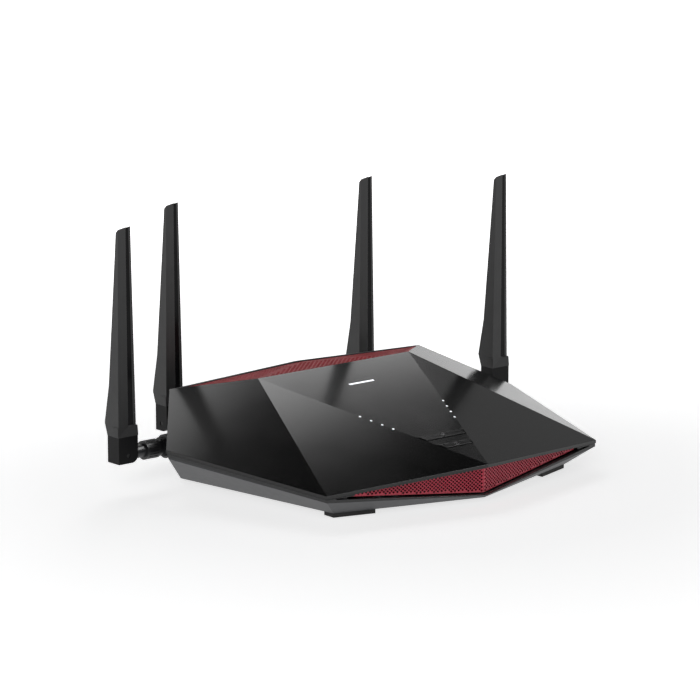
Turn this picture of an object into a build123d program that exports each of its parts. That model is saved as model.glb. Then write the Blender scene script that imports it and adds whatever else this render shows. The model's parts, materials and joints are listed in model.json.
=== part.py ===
from build123d import *
import math
import os

# ---------------------------------------------------------------- driving dimensions, mm
body_width = 285.0
body_depth = 185.6
body_height = 61.4
foot_height = 2.9
sheet = 2.1
band = 2.3
wall = 2.4
floor_thk = 2.2
seam_gap = 0.25
groove = 0.5

crest_front_z = 24.1
corner_front_z = 18.3
corner_rear_z = body_height - 7.3
rim_peak_z = body_height - 4.0

grille_thk = 1.1
grille_pitch_x = 2.7
grille_pitch_z = 2.3
grille_bar = 0.36
rear_pitch = 3.6
rear_bar = 0.55

board_z = 10.0
board_thk = 1.6
jack_top_h = 13.5
screw_dia = 3.0
screw_pilot = 2.5

socket_z = 24.0
side_antenna_out = 11.7
side_antenna_share = 0.375
rear_antenna_share = 0.5621
rear_antenna_back = 31.6
socket_reach = 24.2
stem_dia = 8.3
barrel_dia = 6.4
nut_dia = 11.9
nut_length = 10.0
running_fit = 0.05
pin_dia = 2.6
tongue_thk = 4.0
tongue_gap = 0.15
base_half_x = 7.25
base_half_y = 5.8
base_below = 4.9
base_above = 12.0
blade_top = 142.6
blade_overhang = 0.35

button_gap = 0.5
key_gap = 0.9
button_proud = 0.35
button_stroke = 0.6

# ---------------------------------------------------------------- outline of the body
half_w = body_width / 2
y_front = -0.5060 * body_depth
y_rear = 0.4940 * body_depth
p_front = (0.0, y_front, crest_front_z)
p_corner = (0.7740 * half_w, -0.3966 * body_depth, corner_front_z)
p_crest = (0.4365 * half_w, 0.2802 * body_depth, body_height)
p_shoulder = (0.7249 * half_w, 0.4806 * body_depth, corner_rear_z)
p_rim = (0.0, y_rear, rim_peak_z)
wide_xy = (half_w, 0.2209 * body_depth)
floor_corner = (0.6716 * half_w, -0.3346 * body_depth)
floor_side = (0.8014 * half_w, 0.3534 * body_depth)
floor_rear_x = 0.6880 * half_w
rear_wall_y = 0.4741 * body_depth
side_antenna_x = half_w + side_antenna_out
side_antenna_y = side_antenna_share * body_depth
rear_antenna_x = rear_antenna_share * half_w
rear_antenna_y = rear_wall_y + rear_antenna_back
parts = {}


def mirror_x(p):
    return (-p[0],) + tuple(p[1:])


def plane_of(a, b, c):
    va = Vector(*a)
    normal = (Vector(*b) - va).cross(Vector(*c) - va).normalized()
    if normal.Z < 0:
        normal = normal * -1
    return Plane(origin=va, z_dir=normal)


def height_on(a, b, c, x, y):
    pl = plane_of(a, b, c)
    n = pl.z_dir
    return a[2] - (n.X * (x - a[0]) + n.Y * (y - a[1])) / n.Z


def keep_toward(shape, pl, point):
    side = (Vector(*point) - pl.origin).dot(pl.z_dir)
    return split(shape, bisect_by=pl, keep=Keep.TOP if side > 0 else Keep.BOTTOM)


wide_z = height_on(p_shoulder, p_crest, p_corner, wide_xy[0], wide_xy[1])
p_wide = (wide_xy[0], wide_xy[1], wide_z)
ring = [p_front, p_corner, p_wide, p_shoulder, p_rim]
ring = ring + [mirror_x(p) for p in (p_shoulder, p_wide, p_corner)]
roof = [(p_crest, mirror_x(p_crest), p_front)]
for flip in (tuple, mirror_x):
    roof.append((flip(p_crest), flip(p_corner), p_front))
    roof.append((flip(p_shoulder), flip(p_crest), flip(p_corner)))
    roof.append((flip(p_shoulder), flip(p_crest), p_rim))
roof.append((p_crest, mirror_x(p_crest), p_rim))


def prism(points, z0, z1):
    face = make_face(Polyline(*[(p[0], p[1]) for p in points], close=True))
    return Pos(0, 0, z0) * extrude(face, z1 - z0)


def column(inset, drop, z0=-5.0):
    """The whole body outline as a solid column, set in from the sides and lowered from the roof."""
    sx = 1 - inset / half_w
    sy = 1 - inset / (body_depth / 2)
    solid = prism([(p[0] * sx, p[1] * sy) for p in ring], z0, body_height + 30)
    for tri in roof:
        pts = [(p[0] * sx, p[1] * sy, p[2] - drop) for p in tri]
        solid = keep_toward(solid, plane_of(*pts), (0, 0, -200))
    return solid


def tray_block(inset, drop, z0):
    """Column with the sides that slope in toward the floor."""
    sx = 1 - inset / half_w
    sy = 1 - inset / (body_depth / 2)
    zc = corner_front_z - sheet - band
    solid = split(column(inset, drop), bisect_by=Plane.XY.offset(z0), keep=Keep.TOP)
    inside = (0, 0, 30)
    for s in (-1, 1):
        top = (s * p_corner[0] * sx, p_corner[1] * sy, zc)
        low = (s * floor_corner[0] * sx, floor_corner[1] * sy, foot_height)
        side = (s * floor_side[0] * sx, floor_side[1] * sy, foot_height)
        tip = (0, p_rim[1] * -1 * sy, foot_height)
        rear = (s * floor_rear_x * sx, rear_wall_y * sy, foot_height)
        edge = (s * wide_xy[0] * sx, wide_xy[1] * sy, wide_z - sheet - band)
        for tri in ((top, low, side), (top, low, tip), (side, rear, edge)):
            solid = keep_toward(solid, plane_of(*tri), inside)
    back = Plane(origin=(0, rear_wall_y - inset, 0), z_dir=(0, 1, 0))
    return keep_toward(solid, back, inside)


def box(x0, x1, y0, y1, z0, z1):
    return Pos((x0 + x1) / 2, (y0 + y1) / 2, (z0 + z1) / 2) * Box(x1 - x0, y1 - y0, z1 - z0)


def rod(x, y, z0, z1, dia):
    return Pos(x, y, (z0 + z1) / 2) * Cylinder(dia / 2, z1 - z0)


def rod_y(x, z, y0, y1, dia):
    return Pos(x, (y0 + y1) / 2, z) * Rot(90, 0, 0) * Cylinder(dia / 2, y1 - y0)


def along(frame, s0, s1, dia):
    """A round bar on the local Z axis of a frame, between two stations."""
    return frame * Pos(0, 0, (s0 + s1) / 2) * Cylinder(dia / 2, s1 - s0)


def crease_x(y):
    share = (y - y_front) / (p_crest[1] - y_front)
    return p_crest[0] * share


def roof_z(x, y):
    """Height of the outer skin above a plan position."""
    return min(height_on(*tri, x, y) for tri in roof)


# ---------------------------------------------------------------- plan features of the cover
led_share = (0.451, 0.499, 0.547, 0.595)
led_dia = 1.5
leds_plan = []
for share in led_share:
    y = p_crest[1] + (y_front - p_crest[1]) * share
    leds_plan.append((crease_x(y), y))
bar_y = 0.1363 * body_depth
bar_half = 10.2
bar_w = 1.6
wifi_y = (-0.3010 * body_depth, -0.2675 * body_depth)
wps_y = (-0.3665 * body_depth, -0.3355 * body_depth)


def button_plan(ys, gap):
    lo = ys[0] + gap
    hi = ys[1] - gap
    xl = crease_x(lo) - gap
    xh = crease_x(hi) - gap
    return [(-xl, lo), (xl, lo), (xh, hi), (-xh, hi)]


# ---------------------------------------------------------------- cover
cover_outer = column(0, 0)
under_cover = column(0, sheet)
rear_zone = [mirror_x(p_shoulder), mirror_x(p_crest), p_crest, p_shoulder]
rear_zone = rear_zone + [(half_w, y_rear + 20), (-half_w, y_rear + 20)]
rear_prism = prism(rear_zone, -10, body_height + 40)
cover = cover_outer - under_cover - rear_prism
for ys in (wifi_y, wps_y):
    cover = cover - prism(button_plan(ys, 0.0), 0, 80)
cover = cover - box(-bar_half, bar_half, bar_y - bar_w / 2, bar_y + bar_w / 2, 0, 80)
for s in (-1, 1):
    for lx, ly in leds_plan:
        cover = cover - rod(s * lx, ly, 0, 80, led_dia)

post_xy = [(s * 0.70 * half_w, 0.16 * body_depth) for s in (-1, 1)]
post_xy = post_xy + [(s * 0.52 * half_w, -0.31 * body_depth) for s in (-1, 1)]
post_split = 15.0
for px, py in post_xy:
    post = rod(px, py, post_split, 80, 6.4)
    post = post & column(0, sheet - 0.3)
    cover = cover + (post - rod(px, py, post_split - 1, post_split + 6, screw_pilot))
parts["top_cover"] = cover

# ---------------------------------------------------------------- trim frame with front fascia and rear rim
crease_end_z = 4.4
ring_in = 7.0
frame_top = sheet + seam_gap
frame_low = sheet + band
trim = column(groove, frame_top) - column(groove, frame_low)
hole_sx = 1 - ring_in / half_w
hole_sy = 1 - ring_in / (body_depth / 2)
trim = trim - prism([(p[0] * hole_sx, p[1] * hole_sy) for p in ring], -10, 100)

fascia_in = 3.9
fascia = column(groove, frame_low - 0.2) - column(fascia_in, -20)
fascia = keep_toward(fascia, Plane(origin=(0, p_corner[1], 0), z_dir=(0, 1, 0)), (0, -500, 0))


def above_crease(shape):
    """What lies above the two creases that run from the front corners down to the middle."""
    for s in (-1, 1):
        line_a = (s * p_corner[0], p_corner[1], corner_front_z - sheet - band)
        line_b = (0, y_front, crease_end_z)
        line_c = (0, y_front + 10, crease_end_z)
        shape = keep_toward(shape, plane_of(line_a, line_b, line_c), (0, 0, 300))
    return shape


fascia = above_crease(fascia)
slot_end = (0.728 * half_w, corner_front_z - 2.7)
mesh_end = (0.632 * half_w, corner_front_z - 2.6)
win_low = 4.9
trim = trim + fascia
front_slab = box(-half_w, half_w, -body_depth, p_corner[1] + 12, 0, 40)
for s in (-1, 1):
    outline = [
        (0, win_low),
        (s * slot_end[0], slot_end[1] - 0.35),
        (s * slot_end[0], slot_end[1] + 0.35),
        (s * (mesh_end[0] + 1.2), mesh_end[1] + 0.4),
        (s * (mesh_end[0] + 1.2), 40),
        (0, 40),
    ]
    cutter = extrude(Plane.XZ * make_face(Polyline(*outline, close=True)), 200, both=True)
    trim = trim - (cutter & front_slab)

rim_w = 2.6
rim = column(groove, 0.0) - column(groove + rim_w, -20)
rim = rim & rear_prism
rim = rim - column(0, frame_low)
rim = keep_toward(rim, Plane(origin=(0, p_shoulder[1] - 6, 0), z_dir=(0, 1, 0)), (0, 500, 0))
trim = trim + rim
parts["trim_frame"] = trim

# ---------------------------------------------------------------- tray
tray = tray_block(0.9, frame_low + 0.02, foot_height) - tray_block(0.9 + wall, -20, foot_height + floor_thk)
front_zone = column(-4, -20) - column(fascia_in + 0.3, -25)
front_zone = keep_toward(front_zone, Plane(origin=(0, p_corner[1] + 0.2, 0), z_dir=(0, 1, 0)), (0, -500, 0))
tray = tray - above_crease(front_zone)

side_wall_x = side_antenna_x - base_half_x - socket_reach
rear_wall_face = rear_antenna_y - base_half_y - socket_reach


def socket_frame(x, y, along_x, out):
    """Frame on an outer wall, with local Z along the socket's axis, out of the body."""
    return Plane(origin=(x, y, socket_z), x_dir=along_x, z_dir=out).location


socket_frames = {
    "side_left": socket_frame(-side_wall_x, side_antenna_y, (0, -1, 0), (-1, 0, 0)),
    "side_right": socket_frame(side_wall_x, side_antenna_y, (0, 1, 0), (1, 0, 0)),
    "rear_left": socket_frame(-rear_antenna_x, rear_wall_face, (-1, 0, 0), (0, 1, 0)),
    "rear_right": socket_frame(rear_antenna_x, rear_wall_face, (-1, 0, 0), (0, 1, 0)),
}
shank_dia = 6.4
boss_dia = 15.0
lock_dia = 11.0
for name, frame in socket_frames.items():
    depth = 18.0 if name.startswith("side") else 8.0
    tray = tray + along(frame, -depth, 0, boss_dia)
for name, frame in socket_frames.items():
    depth = 18.0 if name.startswith("side") else 8.0
    tray = tray - along(frame, -depth - 10, 10, shank_dia + 0.2)
    tray = tray - along(frame, 0, 10, boss_dia)
    tray = tray - along(frame, -depth - 10, -4.0, lock_dia + 0.6)

floor_top = foot_height + floor_thk
for px, py in post_xy:
    tray = tray + rod(px, py, foot_height, post_split - 0.3, 8.6)
    tray = tray - rod(px, py, foot_height - 1, post_split + 1, screw_dia + 0.3)
    tray = tray - rod(px, py, foot_height - 1, post_split - 4, 6.0)

board_x = 0.60 * half_w
board_y0 = -0.27 * body_depth
board_y1 = rear_wall_y - wall - 3.0
stand_xy = []
for s in (-1, 1):
    for yy in (board_y0 + 6, (board_y0 + board_y1) / 2, board_y1 - 24):
        stand_xy.append((s * (board_x - 5), yy))
for px, py in stand_xy:
    tray = tray + rod(px, py, foot_height + 0.5, board_z, 6.0)
    tray = tray - rod(px, py, floor_top, board_z + 1, screw_pilot)

vent_w = 2.2
vent_l = 34.0
for row in (-1, 0, 1):
    for col in range(-6, 7):
        vx = col * 9.0
        vy = row * 42.0 - 4.0
        tray = tray - Pos(vx, vy, floor_top / 2) * Box(vent_w, vent_l, floor_top + 2)

key_x = 0.5 * half_w
key_y = 0.29 * body_depth
key_head = 8.0
key_neck = 4.2
key_run = 9.0
for s in (-1, 1):
    tray = tray - rod(s * key_x, key_y, 0, floor_top + 1, key_head)
    neck_x0 = s * key_x - key_neck / 2
    tray = tray - box(neck_x0, neck_x0 + key_neck, key_y, key_y + key_run, 0, floor_top + 1)
    tray = tray - rod(s * key_x, key_y + key_run, 0, floor_top + 1, key_neck)

port_half = 66.0
port_z0 = 9.0
port_z1 = 32.0
tray = tray - box(-port_half, port_half, rear_wall_y - 8, rear_wall_y + 8, port_z0, port_z1)

# ---------------------------------------------------------------- rubber feet
foot_a = (0.665 * half_w, -0.3290 * body_depth)
foot_b = (0.480 * half_w, -0.3718 * body_depth)
foot_d = 9.0
feet = []
for s in (-1, 1):
    pts = [(s * foot_a[0], foot_a[1]), (s * foot_b[0], foot_b[1])]
    pts = pts + [(s * foot_b[0], foot_b[1] + foot_d), (s * foot_a[0], foot_a[1] + foot_d)]
    feet.append(prism(pts, 0, foot_height - 0.02))
    rx = 0.60 * half_w
    ry = 0.40 * body_depth
    feet.append(box(s * rx - 13, s * rx + 13, ry - 5, ry + 5, 0, foot_height - 0.02))
parts["rubber_feet"] = Compound(children=feet)


# ---------------------------------------------------------------- lattice panels
def lattice_face(contains, x0, x1, z0, z1, px, pz, bar):
    """Diamond openings on a staggered grid, as wires, wherever the whole diamond fits."""
    wires = []
    dx = px / 2 - bar
    dz = pz / 2 - bar * pz / px
    rows = int((z1 - z0) / (pz / 2)) + 2
    cols = int((x1 - x0) / px) + 2
    for r in range(rows):
        for c in range(cols):
            cx = x0 + (c + 0.5 * (r % 2)) * px
            cz = z0 + r * pz / 2
            pts = [(cx - dx, cz), (cx, cz - dz), (cx + dx, cz), (cx, cz + dz)]
            if all(contains(p[0], p[1]) for p in pts):
                wires.append(Polyline(*pts, close=True))
    return wires


def convex_test(points, margin):
    cx = sum(p[0] for p in points) / len(points)
    cz = sum(p[1] for p in points) / len(points)
    edges = []
    for i, a in enumerate(points):
        b = points[(i + 1) % len(points)]
        nx = b[1] - a[1]
        nz = a[0] - b[0]
        length = math.hypot(nx, nz)
        nx = nx / length
        nz = nz / length
        if nx * (cx - a[0]) + nz * (cz - a[1]) < 0:
            nx = -nx
            nz = -nz
        edges.append((a, nx, nz))

    def inside(x, z):
        return all(nx * (x - a[0]) + nz * (z - a[1]) > margin for a, nx, nz in edges)

    return inside


def lattice_plate(pl, points, px, pz, bar, margin, thk):
    outer = Wire.make_polygon([Vector(p[0], p[1], 0) for p in points], close=True)
    xs = [p[0] for p in points]
    zs = [p[1] for p in points]
    test = convex_test(points, margin)
    holes = lattice_face(test, min(xs), max(xs), min(zs), max(zs), px, pz, bar)
    inner = [Wire(h.edges()) for h in holes]
    face = Face(outer, inner)
    return pl * extrude(face, thk, dir=(0, 0, -1))


plate_in = fascia_in + 0.05
fr_mid = (0.0, y_front * (1 - plate_in / (body_depth / 2)))
fr_far = (p_corner[0] * (1 - plate_in / half_w), p_corner[1] * (1 - plate_in / (body_depth / 2)))
fr_dir = Vector(fr_far[0], fr_far[1] - fr_mid[1], 0).normalized()
run = (mesh_end[0] + 0.9) / fr_dir.X
fr_plane = Plane(origin=(0, fr_mid[1], 0), x_dir=fr_dir, z_dir=fr_dir.cross(Vector(0, 0, 1)))
low_z = win_low + 1.0
under_lip = sheet + 0.3
top_mid = roof_z(fr_mid[0], fr_mid[1]) - under_lip
far_at = fr_plane * Pos(run, 0, 0)
top_far = roof_z(far_at.position.X, far_at.position.Y) - under_lip
grille_points = [
    (0.12, low_z),
    (run, mesh_end[1] - 0.6),
    (run, top_far),
    (0.12, top_mid),
]
panel_right = lattice_plate(
    fr_plane, grille_points, grille_pitch_x, grille_pitch_z, grille_bar, 0.15, grille_thk
)
parts["front_grille"] = Compound(children=[panel_right.solid(), mirror(panel_right, about=Plane.YZ).solid()])
clear_points = [(-1, low_z - 0.2), (run + 1.0, mesh_end[1] - 1.2), (run + 1.0, 36), (-1, 36)]
clear_face = make_face(Polyline(*[(p[0], p[1]) for p in clear_points], close=True))
clear = fr_plane * Pos(0, 0, -grille_thk - 0.3) * extrude(clear_face, grille_thk + 2.0)
tray = tray - clear - mirror(clear, about=Plane.YZ)
parts["bottom_tray"] = tray

mesh_drop = 0.7
edge_in = 0.45
crest_r = (p_crest[0], p_crest[1] + edge_in, p_crest[2] - mesh_drop)
crest_l = mirror_x(crest_r)
rim_in = rim_w + groove + 0.5
ridge = (0.0, p_rim[1] - rim_in, roof_z(0, p_rim[1] - rim_in) - mesh_drop)
should_y = p_shoulder[1] - rim_in + 0.4
edge_run = (p_shoulder[0] - p_crest[0]) / (p_shoulder[1] - p_crest[1])
should_x = p_crest[0] + (should_y - p_crest[1]) * edge_run - 0.1
should_r = (should_x, should_y, roof_z(should_x, should_y) - mesh_drop)
rear_mesh = []
for tri in ((crest_l, crest_r, ridge), (crest_r, should_r, ridge), (mirror_x(should_r), crest_l, ridge)):
    va = Vector(*tri[0])
    vb = Vector(*tri[1])
    vc = Vector(*tri[2])
    normal = (vb - va).cross(vc - va).normalized()
    pl = Plane(origin=va, x_dir=(vb - va).normalized(), z_dir=normal)
    flat = [pl.to_local_coords(v) for v in (va, vb, vc)]
    mid = sum([f.X for f in flat]) / 3, sum([f.Y for f in flat]) / 3
    shrunk = []
    for f in flat:
        d = math.hypot(f.X - mid[0], f.Y - mid[1])
        k = (d - 0.45) / d
        shrunk.append((mid[0] + (f.X - mid[0]) * k, mid[1] + (f.Y - mid[1]) * k))
    rear_mesh.append(lattice_plate(pl, shrunk, rear_pitch, rear_pitch, rear_bar, 0.7, 1.5))
parts["rear_grille"] = Compound(children=rear_mesh)

# ---------------------------------------------------------------- rear port panel and jacks
panel_y1 = rear_wall_y - wall - 0.92
panel_y0 = panel_y1 - 1.8
panel = box(-port_half - 3, port_half + 3, panel_y0, panel_y1, board_z - 4.2, port_z1 + 2.0)
board_top = board_z + board_thk
jack_z1 = board_top + jack_top_h
power_x = -56.0
reset_x = -64.0
dc_x = -43.0
usb_x = -26.5
wan_x = -8.0
lan_x0 = 2.5
lan_pitch = 15.0
jack_w = 14.9
lan_x1 = lan_x0 + 4 * lan_pitch
jack_gap = 0.15
usb_w = 14.4
usb_h = 15.6
dc_w = 9.4
dc_h = 11.0
dc_bore = 6.3
dc_pin = 2.0
dc_depth = 9.0


def jack_window(x0, x1, z1):
    """Opening in the port panel around one jack."""
    return box(x0 - jack_gap, x1 + jack_gap, 0, 200, board_top - 0.1, z1 + jack_gap)


panel = panel - jack_window(lan_x0, lan_x1, jack_z1)
panel = panel - jack_window(wan_x - jack_w / 2, wan_x + jack_w / 2, jack_z1)
panel = panel - jack_window(usb_x - usb_w / 2, usb_x + usb_w / 2, board_top + usb_h)
panel = panel - jack_window(dc_x - dc_w / 2, dc_x + dc_w / 2, board_top + dc_h)
power_z = board_top + 6.5
power_dia = 8.4
reset_z = board_top + 5.0
reset_dia = 2.6
panel = panel - rod_y(power_x, power_z, panel_y0 - 10, panel_y0 + 10, power_dia + 2 * button_gap)
panel = panel - rod_y(reset_x, reset_z, panel_y0 - 10, panel_y0 + 10, reset_dia + 2 * button_gap)
panel = panel - box(-port_half - 4, port_half + 4, 0, 200, 0, board_top - 0.05)
parts["port_panel"] = panel

jack_y1 = panel_y1 - 0.1
jack_d = 17.0
plug_w = 11.9
plug_h = 8.6


def socket_cut(cx, z0, depth):
    body = box(cx - plug_w / 2, cx + plug_w / 2, jack_y1 - depth, jack_y1 + 5, z0, z0 + plug_h)
    latch = box(cx - 3.2, cx + 3.2, jack_y1 - depth, jack_y1 + 5, z0 + plug_h - 1, z0 + plug_h + 1.8)
    return body + latch


lan = box(lan_x0, lan_x1, jack_y1 - jack_d, jack_y1, board_top, jack_z1)
for i in range(4):
    lan = lan - socket_cut(lan_x0 + (i + 0.5) * lan_pitch, board_top + 1.3, 13.0)
parts["lan_jacks"] = lan
wan = box(wan_x - jack_w / 2, wan_x + jack_w / 2, jack_y1 - jack_d, jack_y1, board_top, jack_z1)
parts["wan_jack"] = wan - socket_cut(wan_x, board_top + 1.3, 13.0)
usb = box(usb_x - usb_w / 2, usb_x + usb_w / 2, jack_y1 - jack_d, jack_y1, board_top, board_top + usb_h)
usb_slot_w = 12.6
usb_slot_h = 5.2
usb_slots = (board_top + 1.4, board_top + 8.9)
usb_slot_x = (usb_x - usb_slot_w / 2, usb_x + usb_slot_w / 2)
for z0 in usb_slots:
    usb = usb - box(*usb_slot_x, jack_y1 - 12, jack_y1 + 5, z0, z0 + usb_slot_h)
parts["usb_sockets"] = usb
dc = box(dc_x - dc_w / 2, dc_x + dc_w / 2, jack_y1 - 14, jack_y1, board_top, board_top + dc_h)
dc_z = board_top + 6.2
dc = dc - rod_y(dc_x, dc_z, jack_y1 - dc_depth, jack_y1 + 1, dc_bore)
dc = dc + rod_y(dc_x, dc_z, jack_y1 - dc_depth - 0.5, jack_y1 - 1.5, dc_pin)
parts["dc_inlet"] = dc

cap_y0 = panel_y0 - 4.5
power_y1 = panel_y1 + 1.4
reset_y1 = panel_y1 - 0.4
power_cap = rod_y(power_x, power_z, cap_y0, power_y1, power_dia)
parts["power_button"] = power_cap + rod_y(power_x, power_z, cap_y0 - 1.2, cap_y0, power_dia + 2.4)
reset_cap = rod_y(reset_x, reset_z, cap_y0, reset_y1, reset_dia)
parts["reset_button"] = reset_cap + rod_y(reset_x, reset_z, cap_y0 - 1.2, cap_y0, reset_dia + 2.0)
switch_y1 = cap_y0 - 1.2 - button_stroke - 0.35
rear_switches = []
for cx, cz, w in ((power_x, power_z, 8.0), (reset_x, reset_z, 4.5)):
    rear_switches.append(box(cx - w / 2, cx + w / 2, switch_y1 - 8, switch_y1, board_top, cz + 3.0))

# ---------------------------------------------------------------- main board and what stands on it
board = box(-board_x, board_x, board_y0, board_y1, board_z, board_top)
board = board - [rod(px, py, 0, 40, screw_dia + 0.2) for px, py in stand_xy]
parts["main_board"] = board
can_h = 3.2
can_sheet = 0.4
cans = []
for cx, cy, w, d in ((-52, -20, 40, 34), (52, -20, 40, 34), (0, 38, 46, 22), (-50, 34, 32, 26)):
    shell = Pos(cx, cy, board_top + can_h / 2) * Box(w, d, can_h)
    hollow = Pos(cx, cy, board_top + can_h / 2 - can_sheet) * Box(w - 2 * can_sheet, d - 2 * can_sheet, can_h)
    cans.append(shell - hollow)
parts["shield_cans"] = Compound(children=cans)
chip = box(-11, 11, -21, 1, board_top, board_top + 2.4)
memory = [box(x - 5, x + 5, -38, -24.5, board_top, board_top + 1.2) for x in (-14, 0, 14)]
parts["chips"] = Compound(children=[chip] + memory)
parts["thermal_pad"] = box(-10, 10, -20, 0, board_top + 2.42, board_top + 3.4)
sink = box(-26, 26, -34, 16, board_top + 3.42, board_top + 6.0)
for i in range(11):
    fx = -25 + i * 5.0
    sink = sink + box(fx - 0.6, fx + 0.6, -34, 16, board_top + 6.0, board_top + 14.0)
parts["heatsink"] = sink
caps = []
round_caps = ((-38, 60, 8, 11), (-28, 58, 6.3, 9), (-66, 12, 8, 11), (66, 12, 6.3, 9), (30, 30, 6.3, 8))
for cx, cy, d, h in round_caps:
    caps.append(rod(cx, cy, board_top, board_top + h, d))
for cx, cy in ((-46, 8), (46, 8), (40, 34)):
    caps.append(box(cx - 4, cx + 4, cy - 4, cy + 4, board_top, board_top + 4))
parts["power_parts"] = Compound(children=caps)


def screw(x, y, z_head, length, down):
    """A pan-head screw. The head's bearing face is at z_head and the shank runs away from it."""
    if down:
        return rod(x, y, z_head, z_head + 1.9, 5.2) + rod(x, y, z_head - length, z_head, screw_pilot - 0.1)
    return rod(x, y, z_head - 1.9, z_head, 5.2) + rod(x, y, z_head, z_head + length, screw_pilot - 0.1)


board_screw_len = board_top - floor_top - 1.0
board_screws = [screw(px, py, board_top, board_screw_len, True) for px, py in stand_xy]
parts["board_screws"] = Compound(children=board_screws)
case_screws = [screw(px, py, post_split - 4.0, 9.0, False) for px, py in post_xy]
parts["case_screws"] = Compound(children=case_screws)

# ---------------------------------------------------------------- light board, lights and top buttons
lens_depth = 2.4
light_drop = sheet + lens_depth + 1.4
light_board_thk = 1.2
slab = column(0, light_drop) - column(0, light_drop + light_board_thk)
strip = [(-38, bar_y + 5), (38, bar_y + 5), (crease_x(-0.07 * body_depth) + 5, -0.07 * body_depth)]
strip = strip + [(crease_x(wps_y[0]) + 4, wps_y[0] - 2), (-crease_x(wps_y[0]) - 4, wps_y[0] - 2)]
strip = strip + [(-crease_x(-0.07 * body_depth) - 5, -0.07 * body_depth)]
parts["light_board"] = slab & prism(strip, 0, 90)

skin = column(0, 0) - column(0, sheet + lens_depth)
guides = {}
for side, s in (("left", -1), ("right", 1)):
    solid = None
    for lx, ly in leds_plan:
        bit = rod(s * lx, ly, 0, 90, led_dia - 0.1) & skin
        solid = bit if solid is None else solid + bit
    lo = leds_plan[-1]
    hi = leds_plan[0]
    rail = [(s * (hi[0] - 2.2), hi[1] + 2), (s * (hi[0] + 2.2), hi[1] + 2)]
    rail = rail + [(s * (lo[0] + 2.2), lo[1] - 2), (s * (lo[0] - 2.2), lo[1] - 2)]
    rail_slab = column(0, sheet + 0.05) - column(0, sheet + lens_depth)
    solid = solid + (rail_slab & prism(rail, 0, 90))
    parts["light_guide_" + side] = solid
lens = (Pos(0, bar_y, 45) * Box(2 * bar_half - 0.1, bar_w - 0.1, 90)) & skin
foot = box(-bar_half - 1.5, bar_half + 1.5, bar_y - 2.2, bar_y + 2.2, 0, 90)
lens = lens + (foot & (column(0, sheet + 0.05) - column(0, sheet + lens_depth)))
parts["light_bar"] = lens

lamp_slab = column(0, sheet + lens_depth + 0.4) - column(0, light_drop - 0.02)
lamps = []
for s in (-1, 1):
    for lx, ly in leds_plan:
        lamps.append(box(s * lx - 0.9, s * lx + 0.9, ly - 0.9, ly + 0.9, 0, 90) & lamp_slab)
for lx in (-6, 0, 6):
    lamps.append(box(lx - 1.5, lx + 1.5, bar_y - 0.9, bar_y + 0.9, 0, 90) & lamp_slab)
parts["lamps"] = Compound(children=[lamp.solid() if hasattr(lamp, "solid") else lamp for lamp in lamps])

button_depth = 3.6
key_slab = column(0, -button_proud) - column(0, button_depth)
flange_slab = column(0, sheet + 0.35) - column(0, button_depth)
for name, ys in (("wifi_button", wifi_y), ("wps_button", wps_y)):
    key = prism(button_plan(ys, key_gap), 0, 90) & key_slab
    flange_plan = button_plan((ys[0] - 1.3, ys[1] + 1.3), 0.8)
    key = key + (prism(flange_plan, 0, 90) & flange_slab)
    parts[name] = key
tact_slab = column(0, button_depth + button_stroke + 0.35) - column(0, light_drop - 0.02)
tacts = []
for ys in (wifi_y, wps_y):
    yc = (ys[0] + ys[1]) / 2
    for lx in (-5.5, 5.5):
        tacts.append((box(lx - 1.6, lx + 1.6, yc - 1.6, yc + 1.6, 0, 90) & tact_slab).solid())
parts["switches"] = Compound(children=tacts + rear_switches)

# ---------------------------------------------------------------- antenna sockets and leads
flange_len = 3.2
collar_len = 6.2
barrel_end = 11.2
sockets = []
leads = []
for name, frame in socket_frames.items():
    hexa = frame * extrude(RegularPolygon(6.3, 6), flange_len)
    body = hexa + along(frame, flange_len, collar_len, 10.2)
    body = body + along(frame, collar_len - 0.01, barrel_end, barrel_dia)
    body = body + along(frame, -5.0, 0.01, shank_dia)
    body = body + along(frame, -6.0, -4.05, 9.6)
    body = body + along(frame, -9.5, -5.9, 3.6)
    body = body - along(frame, 4.0, barrel_end + 1, 2.5 + 2 * running_fit)
    sockets.append(body.solid())
    start = frame * Pos(0, 0, -8.0)
    p0 = start.position
    d = (frame * Pos(0, 0, -18.0)).position - p0
    s = -1 if p0.X < 0 else 1
    if name.startswith("side"):
        p3 = Vector(s * (board_x - 12), side_antenna_y - 22, board_top + 2.0)
    else:
        p3 = Vector(s * (board_x - 10), rear_wall_face - 30, board_top + 2.0)
    path = Bezier(p0, p0 + d.normalized() * 14, p3 + Vector(0, 0, 12), p3)
    wire = sweep(Plane(origin=path @ 0, z_dir=path % 0) * Circle(0.65), path=path)
    hole_start = along(frame, -9.5, -5.9, 3.6)
    tail = rod(p3.X, p3.Y, board_top, board_top + 2.0, 2.6)
    leads.append((wire - hole_start, tail))
parts["antenna_sockets"] = Compound(children=sockets)
lead_solids = []
for wire, tail in leads:
    lead_solids.append(max(wire.solids(), key=lambda v: v.volume))
parts["coax_leads"] = Compound(children=lead_solids + [tail.solid() for wire, tail in leads])


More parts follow.
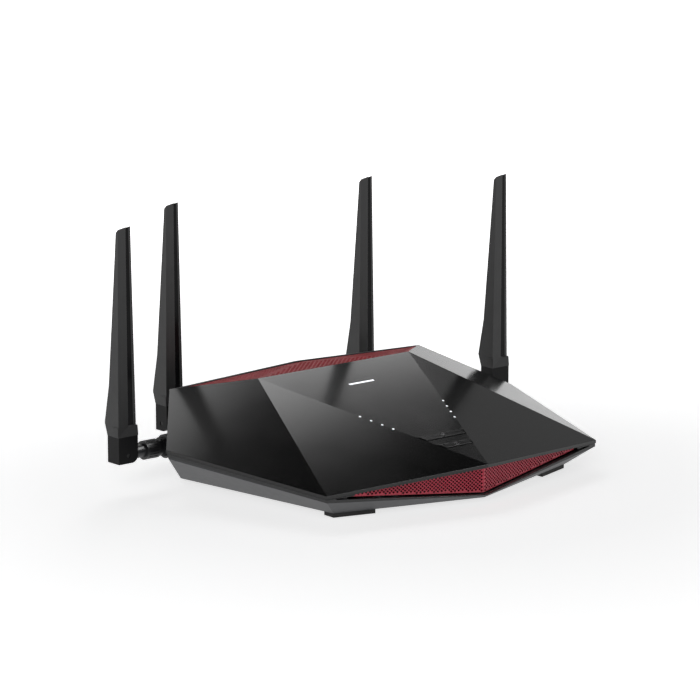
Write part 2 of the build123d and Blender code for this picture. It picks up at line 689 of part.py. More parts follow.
# ---------------------------------------------------------------- one antenna, pin at the local origin
def blade_solid():
    """Upright tapered blade above the base, pin axis at z 0."""
    z0 = base_above
    bulge = (base_half_y + 2.7, 19.7)
    knee = (base_half_y - 2.1, 44.1)
    tip_y = -base_half_y + 2.0
    side = [(-base_half_y, z0), (base_half_y, z0), bulge, knee, (tip_y, blade_top), (-base_half_y, blade_top)]
    face = Plane.YZ * make_face(Polyline(*side, close=True))
    solid = extrude(face, 12, both=True)
    inside = (0, -base_half_y + 1.0, 60)
    ref = -base_half_x
    front = -base_half_y
    k2 = (ref, front, 35.7)
    k1 = (ref, knee[0], knee[1])
    low = (ref - blade_overhang, front, z0)
    high = (ref + blade_overhang, front, blade_top)
    solid = keep_toward(solid, plane_of(k2, k1, low), inside)
    solid = keep_toward(solid, plane_of(k2, k1, high), inside)
    edge_x = 0.2
    right_lo = base_half_x + blade_overhang
    right_hi = 4.75
    right_side = plane_of((right_lo, 0, z0), (right_lo, 5, z0), (right_hi, 0, blade_top))
    solid = keep_toward(solid, right_side, inside)
    main_r = (edge_x, front + 0.5)
    solid = keep_toward(solid, plane_of((ref, front, 0), (ref, front, 50), main_r + (20,)), inside)
    cham = (4.75, front + 1.55)
    solid = keep_toward(solid, plane_of(main_r + (0,), main_r + (50,), cham + (20,)), inside)
    back_chamfer = plane_of((right_hi, 2.5, 100), (right_lo, 5.8, 20), (right_lo - 4, 8.4, 20))
    solid = keep_toward(solid, back_chamfer, inside)
    ledge = [(front, z0), (front + 0.5, 18.4), (0, 18.4), (0, z0)]
    wedge = extrude(Plane.YZ * make_face(Polyline(*ledge, close=True)), 12, both=True)
    wedge = keep_toward(wedge, plane_of(k2, k1, low), inside)
    wedge = keep_toward(wedge, right_side, inside)
    solid = solid + wedge
    tip_a = (ref, front, blade_top - 1.7)
    tip_b = (edge_x, front, blade_top)
    tip_c = (ref, front + 2.0, blade_top - 3.7)
    return keep_toward(solid, plane_of(tip_a, tip_b, tip_c), inside)


def strip_zone(depth, margin):
    """Slab just under the glossy facet that runs the length of the blade."""
    front = -base_half_y
    a = Vector(0.2, front + 0.5, 0)
    b = Vector(4.75, front + 1.55, 0)
    u = (b - a).normalized()
    n = Vector(-u.Y, u.X, 0)
    top_w = 2.7
    low_w = 4.8
    shape = []
    for z, w in ((18.9 - margin, low_w), (blade_top + 5, top_w)):
        ring_pts = [a + u * (0.25 - margin) - n, a + u * (w + margin) - n]
        ring_pts = ring_pts + [a + u * (w + margin) + n * depth, a + u * (0.25 - margin) + n * depth]
        shape.append(Wire.make_polygon([Vector(v.X, v.Y, z) for v in ring_pts], close=True))
    return Solid.make_loft(shape, True)


blade_raw = blade_solid()
cavity_face = Plane.YZ * make_face(Polyline((-3.2, 16), (2.6, 16), (0.8, 60), (-3.2, 108), close=True))
cavity = Pos(-1.2, 0, 0) * extrude(cavity_face, 4.0, both=True)
blade_body = blade_raw - strip_zone(1.0, 0.05) - cavity
blade_strip = blade_raw & strip_zone(0.98, 0.0)
blade_strip = blade_strip & (Pos(0, 0.25, 0) * blade_raw)
radiator = box(-4.2, 2.2, -2.8, -2.0, 17, 90)


def antenna_base(pin_along_y, toward):
    """Fork block under the blade: slot for the stem's tongue and the cross hole for the pin."""
    block = box(-base_half_x, base_half_x, -base_half_y, base_half_y, -base_below, base_above - 0.02)
    low_edges = [e for e in block.edges() if abs(e.center().Z + base_below) < 0.01]
    slot_half = tongue_thk / 2 + tongue_gap
    if pin_along_y:
        rounded = [e for e in low_edges if abs(e.center().X - base_half_x * toward) < 0.01]
        slot = box(-4.5, 30, -slot_half, slot_half, -30, 4.5)
        slot = slot if toward > 0 else mirror(slot, about=Plane.YZ)
        hole = Rot(90, 0, 0) * Cylinder(pin_dia / 2, 60)
    else:
        rounded = [e for e in low_edges if abs(e.center().Y + base_half_y) < 0.01]
        slot = box(-slot_half, slot_half, -30, 4.5, -30, 4.5)
        hole = Rot(0, 90, 0) * Cylinder(pin_dia / 2, 60)
    return fillet(rounded, 4.6) - slot - hole


def stem_of(frame, reach):
    """Round stem on the socket axis with a flat tongue around the pin."""
    end = socket_reach - 0.3
    body = along(frame, barrel_end + 1.0, end, stem_dia)
    body = body + along(frame, 6.0, barrel_end + 1.01, 2.5)
    centre = frame * Pos(0, 0, reach)
    eye_r = 4.1
    eye = centre * Rot(0, 90, 0) * Cylinder(eye_r, tongue_thk)
    neck = frame * Pos(0, 0, (end - 1 + reach) / 2) * Box(tongue_thk, eye_r * 2, reach - end + 1)
    body = body + eye + neck
    return body - centre * Rot(0, 90, 0) * Cylinder(pin_dia / 2 + running_fit, 20)


def nut_of(frame):
    z0 = collar_len + 0.3
    z1 = z0 + nut_length
    body = along(frame, z0, z1, nut_dia)
    grooves = 20
    for i in range(grooves):
        cut = frame * Rot(0, 0, i * 360 / grooves) * Pos(nut_dia / 2 + 0.25, 0, (z0 + z1) / 2)
        body = body - cut * Box(1.4, 0.7, nut_length - 3.4)
    body = body - along(frame, z0 - 1, barrel_end + 0.5, barrel_dia + 0.16)
    return body - along(frame, barrel_end + 0.4, z1 + 1, stem_dia + 2 * running_fit)


antennas = {
    "side_left": (-side_antenna_x, side_antenna_y, True, 1),
    "rear_left": (-rear_antenna_x, rear_antenna_y, False, -1),
    "rear_right": (rear_antenna_x, rear_antenna_y, False, -1),
    "side_right": (side_antenna_x, side_antenna_y, True, -1),
}
for name, (ax, ay, pin_along_y, toward) in antennas.items():
    frame = socket_frames[name]
    here = Pos(ax, ay, socket_z)
    half = base_half_x if pin_along_y else base_half_y
    span = base_half_y if pin_along_y else base_half_x
    parts[name + "_nut"] = nut_of(frame)
    parts[name + "_stem"] = stem_of(frame, socket_reach + half)
    parts[name + "_base"] = here * antenna_base(pin_along_y, toward)
    pin_turn = Rot(90, 0, 0) if pin_along_y else Rot(0, 90, 0)
    parts[name + "_pin"] = here * pin_turn * Cylinder(pin_dia / 2, 2 * span - 0.8)
    parts[name + "_blade"] = here * blade_body
    parts[name + "_strip"] = here * blade_strip
    parts[name + "_radiator"] = here * radiator

# ---------------------------------------------------------------- place the origin under the middle and write
bulge_y = rear_antenna_y + base_half_y + 2.7
shift_y = -(y_front + bulge_y) / 2
os.makedirs("parts", exist_ok=True)
for name, shape in parts.items():
    solids = [Pos(0, shift_y, 0) * solid for solid in shape.solids()]
    placed = solids[0] if len(solids) == 1 else Compound(children=solids)
    export_step(placed, os.path.join("parts", name + ".step"))
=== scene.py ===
import json
import math

import bmesh
import bpy
from mathutils import Matrix, Vector


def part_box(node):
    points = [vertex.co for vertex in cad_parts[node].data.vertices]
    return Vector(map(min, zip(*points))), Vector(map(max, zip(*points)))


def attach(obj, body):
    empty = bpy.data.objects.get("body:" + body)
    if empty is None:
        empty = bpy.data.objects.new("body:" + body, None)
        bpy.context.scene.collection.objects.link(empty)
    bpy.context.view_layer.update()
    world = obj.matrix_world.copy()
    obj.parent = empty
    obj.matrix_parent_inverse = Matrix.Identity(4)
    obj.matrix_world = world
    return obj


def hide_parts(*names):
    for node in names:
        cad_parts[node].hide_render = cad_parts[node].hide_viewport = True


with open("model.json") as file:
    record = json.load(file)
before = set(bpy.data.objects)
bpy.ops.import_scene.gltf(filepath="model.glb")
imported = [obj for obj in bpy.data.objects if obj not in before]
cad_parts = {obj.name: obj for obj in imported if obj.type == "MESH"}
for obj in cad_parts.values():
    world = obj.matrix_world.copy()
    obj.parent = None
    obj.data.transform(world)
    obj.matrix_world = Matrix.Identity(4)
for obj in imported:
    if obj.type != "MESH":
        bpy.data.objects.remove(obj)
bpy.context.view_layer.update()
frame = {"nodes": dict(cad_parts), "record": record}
nodes = frame["nodes"]
MM = 0.001
ANTENNAS = ("side_left", "rear_left", "rear_right", "side_right")
KEYS = ("wifi_button", "wps_button")

# The camera stands at the photograph's viewing angle, well back, with a long lens.
CAMERA_PLACE = (-1.356328, -1.598798, 0.528908)
CAMERA_TILT = 77.828
CAMERA_TURN = -39.966
CAMERA_LENS = 175.8

# Rise of the cover's centre facet for each unit towards the back.
FACET_SLOPE = 0.2556

# The floor glows a little by itself, and more from FLOOR_NEAR to FLOOR_FAR metres out: the dimmer
# glow near the object is painted shade around it.
FLOOR_HALF = 12.0
FLOOR_DROP = 0.0002
FLOOR_GLOW = 0.68
FLOOR_GLOW_FAR = 1.1
FLOOR_NEAR = 0.2
FLOOR_FAR = 0.8

# Sky brightness by the height of the direction: level is 0, straight up is 1.
WORLD_LEVEL = 0.62
WORLD_TOP = 0.02
WORLD_BANDS = ((0.1, 0.6), (0.3, 0.42), (0.45, 0.27), (0.56, 0.1), (0.7, 0.02))
BACKDROP = 1.2


# ---------------------------------------------------------------- camera
def make_camera():
    data = bpy.data.cameras.new("camera")
    data.lens = CAMERA_LENS
    data.sensor_width = 36.0
    data.clip_end = 50.0
    camera = bpy.data.objects.new("camera", data)
    camera.location = CAMERA_PLACE
    camera.rotation_euler = (math.radians(CAMERA_TILT), 0.0, math.radians(CAMERA_TURN))
    bpy.context.scene.collection.objects.link(camera)
    bpy.context.scene.camera = camera


# ---------------------------------------------------------------- shader nodes
def new_material(name):
    """A material with a Principled shader and coordinates in the object's own space."""
    mat = bpy.data.materials.new(name)
    mat.use_nodes = True
    tree = mat.node_tree
    shader = tree.nodes["Principled BSDF"]
    coords = tree.nodes.new("ShaderNodeTexCoord")
    return mat, tree, shader, coords.outputs["Object"]


def noise(tree, vector, scale, detail=3.0, roughness=0.5):
    node = tree.nodes.new("ShaderNodeTexNoise")
    node.inputs["Scale"].default_value = scale
    node.inputs["Detail"].default_value = detail
    node.inputs["Roughness"].default_value = roughness
    tree.links.new(vector, node.inputs["Vector"])
    return node.outputs["Fac"]


def ramp(tree, fac, low, high, start=0.3, end=0.7):
    """Colour from low to high as fac goes from start to end."""
    node = tree.nodes.new("ShaderNodeValToRGB")
    first, last = node.color_ramp.elements
    first.position = start
    last.position = end
    first.color = (*low, 1.0)
    last.color = (*high, 1.0)
    tree.links.new(fac, node.inputs["Fac"])
    return node.outputs["Color"]


def span(tree, fac, low, high):
    """A 0 to 1 value spread over low to high."""
    node = tree.nodes.new("ShaderNodeMapRange")
    node.inputs["To Min"].default_value = low
    node.inputs["To Max"].default_value = high
    tree.links.new(fac, node.inputs["Value"])
    return node.outputs["Result"]


def bump(tree, shader, height, strength, distance):
    node = tree.nodes.new("ShaderNodeBump")
    node.inputs["Strength"].default_value = strength
    node.inputs["Distance"].default_value = distance
    tree.links.new(height, node.inputs["Height"])
    tree.links.new(node.outputs["Normal"], shader.inputs["Normal"])


# ---------------------------------------------------------------- materials
def surface(name, dark, light, rough, grain, strength,
            metallic=0.0, coat=0.0, specular=0.5, depth=0.00005):
    """Moulded, painted or metal surface: mottled colour, uneven roughness and a fine grain."""
    mat, tree, shader, vector = new_material(name)
    mottle = noise(tree, vector, 60.0, 5.0)
    tree.links.new(ramp(tree, mottle, dark, light), shader.inputs["Base Color"])
    wear = noise(tree, vector, 220.0, 4.0, 0.6)
    tree.links.new(span(tree, wear, rough[0], rough[1]), shader.inputs["Roughness"])
    bump(tree, shader, noise(tree, vector, grain, 2.0, 0.6), strength, depth)
    shader.inputs["Metallic"].default_value = metallic
    shader.inputs["Coat Weight"].default_value = coat
    shader.inputs["Coat Roughness"].default_value = 0.08
    shader.inputs["Specular IOR Level"].default_value = specular
    return mat


def speckled_cover():
    """Satin black paint with a very fine pale fleck."""
    mat, tree, shader, vector = new_material("cover_black")
    fleck = noise(tree, vector, 5200.0, 2.0, 0.6)
    dark = (0.002, 0.0021, 0.0022)
    pale = (0.009, 0.0092, 0.0095)
    tree.links.new(ramp(tree, fleck, dark, pale, 0.45, 0.8), shader.inputs["Base Color"])
    cloud = noise(tree, vector, 35.0, 4.0)
    tree.links.new(span(tree, cloud, 0.12, 0.18), shader.inputs["Roughness"])
    bump(tree, shader, noise(tree, vector, 2600.0, 2.0), 0.05, 0.00002)
    shader.inputs["Specular IOR Level"].default_value = 0.5
    return mat


def glowing(name, colour, strength):
    """A lit window or lamp, slightly uneven."""
    mat, tree, shader, vector = new_material(name)
    soft = noise(tree, vector, 900.0, 2.0)
    duller = tuple(c * 0.9 for c in colour)
    tree.links.new(ramp(tree, soft, duller, colour), shader.inputs["Base Color"])
    tree.links.new(span(tree, soft, 0.25, 0.4), shader.inputs["Roughness"])
    shader.inputs["Emission Color"].default_value = (*colour, 1.0)
    shader.inputs["Emission Strength"].default_value = strength
    return mat


def circuit_board():
    """Green board with a faint pattern of tracks."""
    mat, tree, shader, vector = new_material("board_green")
    brick = tree.nodes.new("ShaderNodeTexBrick")
    brick.inputs["Scale"].default_value = 90.0
    brick.inputs["Mortar Size"].default_value = 0.03
    brick.inputs["Color1"].default_value = (0.006, 0.04, 0.014, 1)
    brick.inputs["Color2"].default_value = (0.008, 0.05, 0.02, 1)
    brick.inputs["Mortar"].default_value = (0.02, 0.11, 0.04, 1)
    tree.links.new(vector, brick.inputs["Vector"])
    tree.links.new(brick.outputs["Color"], shader.inputs["Base Color"])
    tree.links.new(span(tree, noise(tree, vector, 150.0), 0.3, 0.45), shader.inputs["Roughness"])
    bump(tree, shader, brick.outputs["Fac"], 0.3, 0.00004)
    return mat


# Slot: darker colour, lighter colour, roughness range, grain scale, grain strength, the rest.
SURFACES = {
    "trim_black": ((0.012, 0.012, 0.013), (0.018, 0.018, 0.019), (0.38, 0.48), 2600, 0.1, {}),
    "tray_grey": ((0.026, 0.027, 0.03), (0.034, 0.035, 0.038), (0.45, 0.55), 2200, 0.25, {}),
    "foot_rubber": ((0.006, 0.006, 0.006), (0.012, 0.012, 0.012), (0.7, 0.85), 1500, 0.3, {}),
    "mesh_red": ((0.33, 0.01, 0.03), (0.42, 0.018, 0.045), (0.25, 0.4), 1800, 0.1,
                 {"metallic": 0.5, "coat": 0.5}),
    "mesh_rose": ((0.5, 0.045, 0.055), (0.62, 0.06, 0.075), (0.55, 0.68), 1800, 0.1,
                  {"specular": 0.25}),
    "jack_yellow": ((0.6, 0.38, 0.03), (0.68, 0.44, 0.04), (0.35, 0.5), 1500, 0.1, {}),
    "jack_blue": ((0.02, 0.1, 0.38), (0.03, 0.13, 0.45), (0.35, 0.5), 1500, 0.1, {}),
    "usb_steel": ((0.45, 0.45, 0.46), (0.6, 0.6, 0.6), (0.18, 0.32), 900, 0.1, {"metallic": 1.0}),
    "can_steel": ((0.5, 0.5, 0.48), (0.62, 0.62, 0.6), (0.28, 0.4), 700, 0.1, {"metallic": 1.0}),
    "chip_black": ((0.012, 0.012, 0.012), (0.02, 0.02, 0.02), (0.5, 0.65), 3000, 0.2, {}),
    "pad_grey": ((0.25, 0.27, 0.3), (0.32, 0.34, 0.37), (0.7, 0.8), 1200, 0.3, {}),
    "sink_alu": ((0.5, 0.5, 0.52), (0.62, 0.62, 0.64), (0.35, 0.45), 900, 0.15, {"metallic": 1.0}),
    "cap_steel": ((0.3, 0.3, 0.32), (0.5, 0.5, 0.52), (0.3, 0.4), 900, 0.1, {"metallic": 0.9}),
    "screw_steel": ((0.3, 0.3, 0.3), (0.5, 0.5, 0.5), (0.25, 0.4), 900, 0.1, {"metallic": 1.0}),
    "switch_black": ((0.015, 0.015, 0.015), (0.03, 0.03, 0.03), (0.4, 0.5), 1500, 0.1, {}),
    "socket_black": ((0.012, 0.012, 0.013), (0.02, 0.02, 0.022), (0.25, 0.35), 900, 0.08,
                     {"metallic": 0.4}),
    "contact_gold": ((0.5, 0.36, 0.14), (0.65, 0.5, 0.22), (0.22, 0.35), 900, 0.1,
                     {"metallic": 1.0}),
    "base_black": ((0.004, 0.004, 0.0045), (0.007, 0.007, 0.0075), (0.34, 0.42), 2200, 0.3,
                   {"specular": 0.12}),
    "lead_black": ((0.01, 0.01, 0.01), (0.02, 0.02, 0.02), (0.4, 0.55), 900, 0.1, {}),
    "button_black": ((0.002, 0.002, 0.0021), (0.006, 0.006, 0.0065), (0.14, 0.2), 3000, 0.06, {}),
    "nut_black": ((0.009, 0.009, 0.01), (0.015, 0.015, 0.016), (0.4, 0.5), 2400, 0.12, {}),
    "stem_black": ((0.014, 0.014, 0.016), (0.022, 0.022, 0.024), (0.28, 0.38), 1800, 0.08, {}),
    "antenna_black": ((0.012, 0.012, 0.0125), (0.017, 0.017, 0.0175), (0.38, 0.46), 1700, 0.5,
                      {"specular": 0.4, "depth": 0.0001}),
    "pin_steel": ((0.02, 0.02, 0.02), (0.05, 0.05, 0.05), (0.3, 0.4), 900, 0.1, {"metallic": 0.8}),
    "strip_gloss": ((0.003, 0.003, 0.0035), (0.006, 0.006, 0.0065), (0.1, 0.16), 900, 0.02,
                    {"specular": 0.05}),
    "copper": ((0.45, 0.2, 0.1), (0.6, 0.3, 0.18), (0.3, 0.4), 900, 0.1, {"metallic": 1.0}),
    "print_pale": ((0.3, 0.3, 0.31), (0.36, 0.36, 0.37), (0.5, 0.6), 1500, 0.05, {}),
}


def make_materials():
    mats = {
        "cover_black": speckled_cover(),
        "board_green": circuit_board(),
        "light_clear": glowing("light_clear", (0.95, 0.97, 1.0), 1.2),
        "lamp_white": glowing("lamp_white", (0.9, 0.95, 1.0), 2.5),
    }
    for slot, (dark, light, rough, grain, strength, more) in SURFACES.items():
        mats[slot] = surface(slot, dark, light, rough, grain, strength, **more)
    return mats


def paint_nodes(mats):
    for entry in frame["record"]["subparts"]:
        mesh = nodes[entry["node"]].data
        mesh.materials.clear()
        mesh.materials.append(mats[entry["material_slot"]])


# ---------------------------------------------------------------- edge rounding
def apply_modifiers(piece):
    bpy.context.view_layer.update()
    graph = bpy.context.evaluated_depsgraph_get()
    result = bpy.data.meshes.new_from_object(piece.evaluated_get(graph))
    piece.modifiers.clear()
    piece.data = result


def rounded_copy(node, slot, body, mats, width, min_length, min_angle=12.0, segments=3):
    """The same shape as a CAD piece, with its long outer edges eased as a mould eases them.

    Lengths are in metres. Edges shorter than min_length or flatter than min_angle stay sharp.
    """
    mesh = nodes[node].data.copy()
    bm = bmesh.new()
    bm.from_mesh(mesh)
    bmesh.ops.remove_doubles(bm, verts=bm.verts, dist=0.000002)
    bmesh.ops.dissolve_limit(bm, angle_limit=math.radians(0.4), verts=bm.verts, edges=bm.edges)
    weight = bm.edges.layers.float.new("bevel_weight_edge")
    for edge in bm.edges:
        if len(edge.link_faces) != 2:
            continue
        angle = math.degrees(edge.calc_face_angle(0.0))
        if angle > min_angle and edge.calc_length() > min_length and edge.is_convex:
            edge[weight] = 1.0
    bm.to_mesh(mesh)
    bm.free()
    piece = bpy.data.objects.new(node + "_eased", mesh)
    bpy.context.scene.collection.objects.link(piece)
    mesh.materials.clear()
    mesh.materials.append(mats[slot])
    bevel = piece.modifiers.new("ease", "BEVEL")
    bevel.limit_method = "WEIGHT"
    bevel.width = width
    bevel.segments = segments
    bevel.use_clamp_overlap = True
    bevel.harden_normals = False
    apply_modifiers(piece)
    for polygon in piece.data.polygons:
        polygon.use_smooth = False
    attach(piece, body)
    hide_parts(node)


def ease_edges(mats):
    rounded_copy("top_cover", "cover_black", "housing", mats, 0.0005, 0.020, 5.0)
    rounded_copy("trim_frame", "trim_black", "housing", mats, 0.0002, 0.012, 20.0, 2)
    rounded_copy("bottom_tray", "tray_grey", "housing", mats, 0.0004, 0.020, 10.0, 2)
    rounded_copy("rubber_feet", "foot_rubber", "housing", mats, 0.0004, 0.002, 20.0)
    for name in KEYS:
        rounded_copy(name, "button_black", name, mats, 0.00005, 0.003, 30.0)
    for name in ANTENNAS:
        mast = name + "_mast"
        rounded_copy(name + "_blade", "antenna_black", mast, mats, 0.0002, 0.004, 10.0)
        rounded_copy(name + "_base", "base_black", mast, mats, 0.0003, 0.003, 20.0)


# ---------------------------------------------------------------- small visible pieces
def mesh_piece(name, build, body, slot, mats, material=None):
    """A piece from a bmesh that build fills in. Its look may differ from its slot's."""
    bm = bmesh.new()
    build(bm)
    mesh = bpy.data.meshes.new(name)
    bmesh.ops.recalc_face_normals(bm, faces=bm.faces)
    bm.to_mesh(mesh)
    bm.free()
    piece = bpy.data.objects.new(name, mesh)
    bpy.context.scene.collection.objects.link(piece)
    mesh.materials.append(mats[material or slot])
    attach(piece, body)


def add_block(bm, low, high, ease):
    centre = (Vector(low) + Vector(high)) / 2
    size = Vector(high) - Vector(low)
    matrix = Matrix.Translation(centre) @ Matrix.Diagonal((*size, 1.0))
    made = bmesh.ops.create_cube(bm, size=1.0, matrix=matrix)
    edges = list({e for v in made["verts"] for e in v.link_edges})
    bmesh.ops.bevel(bm, geom=edges, offset=ease, segments=2, affect="EDGES", profile=0.5)


def bridge(bm, first, second):
    """Faces between two rings of four corners."""
    for k in range(4):
        n = (k + 1) % 4
        bm.faces.new((first[k], first[n], second[n], second[k]))


def jack_contacts(mats):
    """Eight sprung contacts in each network jack, near its floor and rising to the inside."""
    contacts = 8
    contact_pitch = 1.02
    half = 0.22 * MM
    low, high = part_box("lan_jacks")
    wan_low, wan_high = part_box("wan_jack")
    jack_pitch = (high.x - low.x) / 4
    centres = [low.x + (i + 0.5) * jack_pitch for i in range(4)]
    centres.append((wan_low.x + wan_high.x) / 2)
    floor_z = low.z + 1.3 * MM
    mouth_y = high.y - 3.0 * MM
    inner_y = high.y - 11.5 * MM
    corners = ((-half, -half), (half, -half), (half, half), (-half, half))

    def build(bm):
        for cx in centres:
            for k in range(contacts):
                x = cx + (k - (contacts - 1) / 2) * contact_pitch * MM
                rings = []
                for y, rise in ((mouth_y, 0.3), (inner_y, 3.2)):
                    end = Vector((x, y, floor_z + rise * MM))
                    rings.append([bm.verts.new(end + Vector((dx, 0, dz))) for dx, dz in corners])
                bridge(bm, *rings)
                bm.faces.new(rings[0][::-1])
                bm.faces.new(rings[1])

    mesh_piece("jack_contacts", build, "housing", "copper", mats, "contact_gold")


def usb_tongues(mats):
    """A tongue in each USB slot, with its four contacts underneath."""
    slot_floors = (1.4, 8.9)
    tongue_rise = 3.3 * MM
    tongue_half = (5.2 * MM, 0.9 * MM)
    contacts = 4
    contact_pitch = 2.3
    low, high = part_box("usb_sockets")
    cx = (low.x + high.x) / 2
    levels = [low.z + slot_floor * MM + tongue_rise for slot_floor in slot_floors]

    def tongues(bm):
        half_x, half_z = tongue_half
        for z in levels:
            add_block(bm, (cx - half_x, high.y - 12.2 * MM, z - half_z),
                      (cx + half_x, high.y - 1.5 * MM, z + half_z), 0.3 * MM)

    def plates(bm):
        for level in levels:
            z = level - 0.95 * MM
            for k in range(contacts):
                x = cx + (k - (contacts - 1) / 2) * contact_pitch * MM
                add_block(bm, (x - 0.5 * MM, high.y - 10.0 * MM, z - 0.12 * MM),
                          (x + 0.5 * MM, high.y - 2.5 * MM, z + 0.1 * MM), 0.04 * MM)

    mesh_piece("usb_tongues", tongues, "housing", "jack_blue", mats)
    mesh_piece("usb_contacts", plates, "housing", "copper", mats, "contact_gold")


def key_mark(node, mats, arcs):
    """A small generic mark on a key: arcs of thin raised line.

    Each arc is its centre across and along the key, radius, start and end angle and half
    width, in millimetres and degrees.
    """
    line_height = 0.05
    lift = 0.03 * MM
    low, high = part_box(node)
    peak = max((v.co.copy() for v in nodes[node].data.vertices), key=lambda co: co.z)
    middle_y = (low.y + high.y) / 2
    along = Vector((0.0, 1.0, FACET_SLOPE)).normalized()
    across = Vector((1.0, 0.0, 0.0))
    up = across.cross(along).normalized()
    centre = Vector((0.0, middle_y, peak.z - FACET_SLOPE * (peak.y - middle_y))) + up * lift

    def build(bm):
        for dx, dy, radius, start, stop, half in arcs:
            steps = max(4, int(abs(stop - start) / 15))
            inner = radius - half
            outer = radius + half
            section = ((inner, 0.0), (outer, 0.0), (outer, line_height), (inner, line_height))
            rings = []
            for i in range(steps + 1):
                angle = math.radians(start + (stop - start) * i / steps)
                ring = []
                for r, h in section:
                    x = dx + r * math.cos(angle)
                    y = dy + r * math.sin(angle)
                    ring.append(bm.verts.new(centre + (across * x + along * y + up * h) * MM))
                rings.append(ring)
            for first, second in zip(rings, rings[1:]):
                bridge(bm, first, second)
            bm.faces.new(rings[0][::-1])
            bm.faces.new(rings[-1])

    mesh_piece(node + "_mark", build, node, "light_clear", mats, "print_pale")


def make_details(mats):
    jack_contacts(mats)
    usb_tongues(mats)
    key_mark("wifi_button", mats, [(0, -1.0, r, 50, 130, 0.16) for r in (0.8, 1.5, 2.2)])
    key_mark("wps_button", mats, [(0, 0, 1.3, 20, 160, 0.16), (0, 0, 1.3, 200, 340, 0.16)])


# ---------------------------------------------------------------- stage
def make_floor():
    """Matt pale floor that whitens away from the object; the dimmer glow close to it is painted
    shade.
    """
    bm = bmesh.new()
    bmesh.ops.create_grid(bm, x_segments=1, y_segments=1, size=FLOOR_HALF)
    mesh = bpy.data.meshes.new("floor")
    bm.to_mesh(mesh)
    bm.free()
    floor = bpy.data.objects.new("floor", mesh)
    floor.location = (0, 0, -FLOOR_DROP)
    bpy.context.scene.collection.objects.link(floor)
    mat, tree, shader, vector = new_material("floor")
    shader.inputs["Base Color"].default_value = (0.86, 0.86, 0.87, 1)
    shader.inputs["Roughness"].default_value = 0.9
    shader.inputs["Specular IOR Level"].default_value = 0.0
    shader.inputs["Emission Color"].default_value = (1, 1, 1, 1)
    length = tree.nodes.new("ShaderNodeVectorMath")
    length.operation = "LENGTH"
    tree.links.new(vector, length.inputs[0])
    # painted shade: the glow is lowest within FLOOR_NEAR of the object's origin, so the floor near
    # the object is darker
    grade = tree.nodes.new("ShaderNodeMapRange")
    grade.inputs["From Min"].default_value = FLOOR_NEAR
    grade.inputs["From Max"].default_value = FLOOR_FAR
    grade.inputs["To Min"].default_value = FLOOR_GLOW
    grade.inputs["To Max"].default_value = FLOOR_GLOW_FAR
    tree.links.new(length.outputs["Value"], grade.inputs["Value"])
    tree.links.new(grade.outputs["Result"], shader.inputs["Emission Strength"])
    mesh.materials.append(mat)


def grey(value):
    return (value, value, value, 1)


def make_world():
    """Bright low down and dimmer overhead for the light and reflections, white to the camera."""
    world = bpy.data.worlds.new("studio")
    world.use_nodes = True
    bpy.context.scene.world = world
    tree = world.node_tree
    coords = tree.nodes.new("ShaderNodeTexCoord")
    split = tree.nodes.new("ShaderNodeSeparateXYZ")
    tree.links.new(coords.outputs["Generated"], split.inputs["Vector"])
    grade = tree.nodes.new("ShaderNodeValToRGB")
    elements = grade.color_ramp.elements
    elements[0].position = 0.0
    elements[0].color = grey(WORLD_LEVEL)
    elements[1].position = 1.0
    elements[1].color = grey(WORLD_TOP)
    for position, value in WORLD_BANDS:
        elements.new(position).color = grey(value)
    tree.links.new(split.outputs["Z"], grade.inputs["Fac"])
    path = tree.nodes.new("ShaderNodeLightPath")
    mix = tree.nodes.new("ShaderNodeMix")
    mix.data_type = "RGBA"
    tree.links.new(path.outputs["Is Camera Ray"], mix.inputs["Factor"])
    tree.links.new(grade.outputs["Color"], mix.inputs["A"])
    mix.inputs["B"].default_value = grey(BACKDROP)
    tree.links.new(mix.outputs["Result"], tree.nodes["Background"].inputs["Color"])


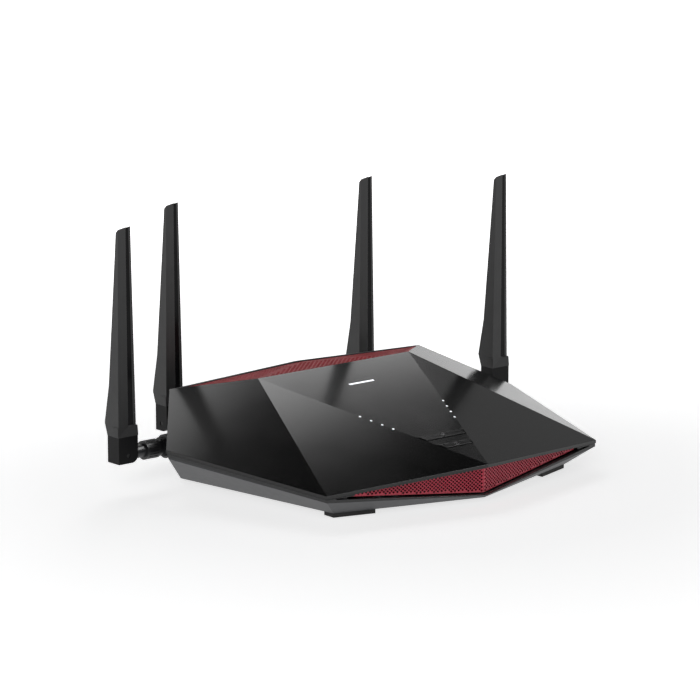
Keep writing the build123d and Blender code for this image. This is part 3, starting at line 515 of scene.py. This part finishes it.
# ---------------------------------------------------------------- lights
def area_light(name, place, aim, size_x, size_y, power):
    data = bpy.data.lights.new(name, "AREA")
    data.shape = "RECTANGLE"
    data.size = size_x
    data.size_y = size_y
    data.energy = power
    light = bpy.data.objects.new(name, data)
    light.location = place
    direction = Vector(aim) - Vector(place)
    light.rotation_euler = direction.to_track_quat("-Z", "Y").to_euler()
    bpy.context.scene.collection.objects.link(light)
    return light


def graded_box(name, x_range, y_range, peak, start, stop):
    """Softbox overhead that faces down, dark up to the depth start and brightest from stop."""
    height = 0.6
    x0, x1 = x_range
    y0, y1 = y_range
    width = x1 - x0
    depth = y1 - y0
    place = ((x0 + x1) / 2, (y0 + y1) / 2, height)
    light = area_light(name, place, (0, 0, 0), width, depth, peak * 4.0 * width * depth)
    light.rotation_euler = (0, 0, 0)
    light.data.use_nodes = True
    tree = light.data.node_tree
    emission = next(n for n in tree.nodes if n.type == "EMISSION")
    geometry = tree.nodes.new("ShaderNodeNewGeometry")
    split = tree.nodes.new("ShaderNodeSeparateXYZ")
    grade = tree.nodes.new("ShaderNodeMapRange")
    grade.interpolation_type = "SMOOTHSTEP"
    grade.inputs["From Min"].default_value = (start - y0) / depth
    grade.inputs["From Max"].default_value = (stop - y0) / depth
    tree.links.new(geometry.outputs["Parametric"], split.inputs["Vector"])
    tree.links.new(split.outputs["Y"], grade.inputs["Value"])
    tree.links.new(grade.outputs["Result"], emission.inputs["Strength"])


def make_lights():
    """One graded box for each group of cover facets, a side softbox and a light for edges."""
    graded_box("box_side", (-0.12, 0.16), (0.34, 0.75), 1.5, 0.395, 0.455)
    graded_box("box_middle", (0.2, 0.46), (0.24, 0.75), 2.8, 0.30, 0.42)
    graded_box("box_right", (0.5, 0.85), (0.46, 0.95), 1.9, 0.535, 0.61)
    area_light("left_softbox", (-1.1, -0.75, 0.75), (-0.1, 0.0, 0.15), 0.7, 0.7, 3.0)
    edge_light = area_light("edge_light", (0.36, -0.5, 0.75), (0.0, -0.1, 0.03), 0.8, 0.6, 12.0)
    edge_light.visible_diffuse = False


def main():
    bpy.context.scene.view_settings.view_transform = "Standard"
    make_camera()
    mats = make_materials()
    paint_nodes(mats)
    ease_edges(mats)
    make_details(mats)
    make_floor()
    make_world()
    make_lights()


main()
